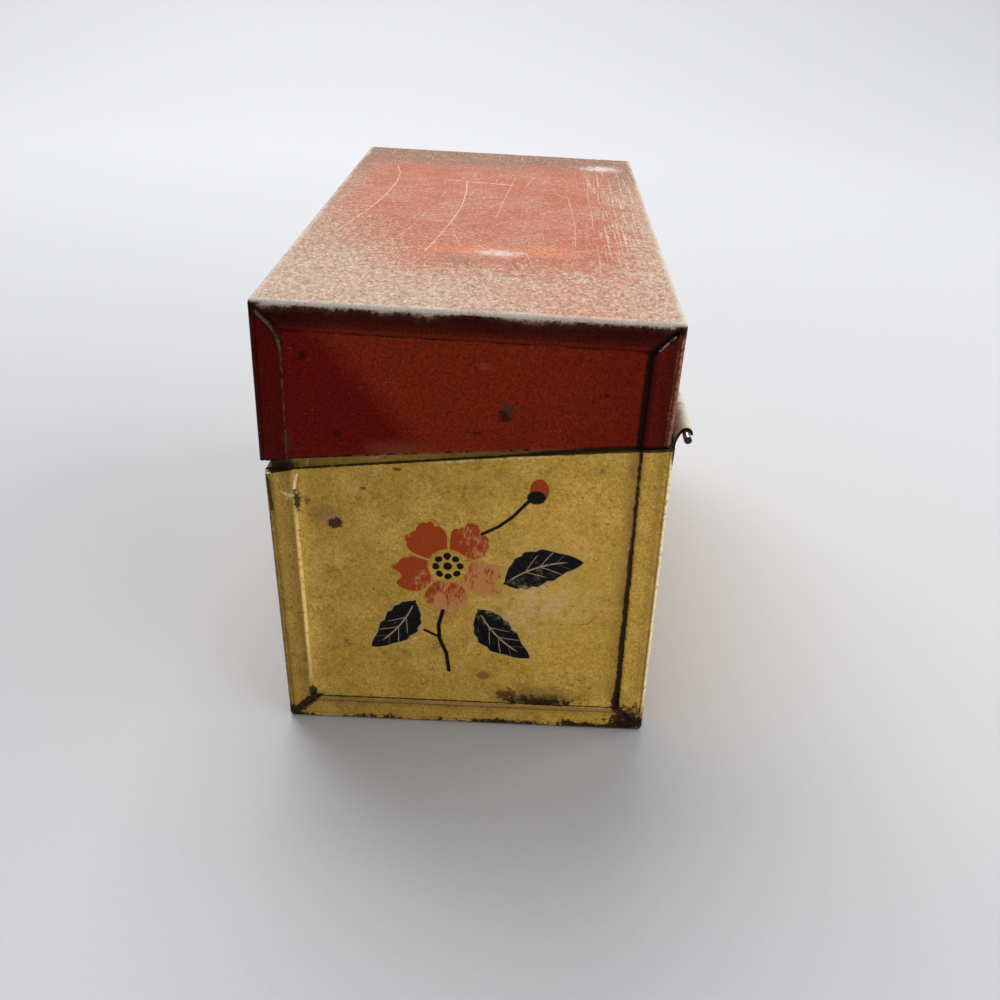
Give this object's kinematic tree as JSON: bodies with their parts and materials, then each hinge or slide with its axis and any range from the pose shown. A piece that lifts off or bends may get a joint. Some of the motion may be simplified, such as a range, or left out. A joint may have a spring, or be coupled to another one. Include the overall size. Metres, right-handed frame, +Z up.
{
  "type": "recipe card box",
  "caption": "Tinplate box for standing index cards, with a slanted rim, a guiding neck and a deep lid hinged on a wire along its long back side.",
  "frame": {"origin": "middle of the underside", "axes": "+Z up, +Y along the box towards its left end, +X from the front panel to the hinged back"},
  "size_m": [0.0775, 0.138, 0.091],
  "materials": {
    "body_paint": "worn cream-yellow enamel over tinplate",
    "lid_paint": "worn brick-red enamel over tinplate",
    "pin_wire": "drawn steel wire"
  },
  "bodies": {
    "body": {"body_shell": "body_paint", "body_end_right": "body_paint", "body_end_left": "body_paint", "hinge_pin": "pin_wire"},
    "lid": {"lid_shell": "lid_paint", "lid_end_right": "lid_paint", "lid_end_left": "lid_paint"}
  },
  "joints": [
    {"name": "lid_hinge", "type": "hinge", "parent": "body", "child": "lid", "pos_m": [0.0387, 0, 0.0687], "axis": [0, 1, 0], "range_deg": [-1.5, 186]}
  ]
}
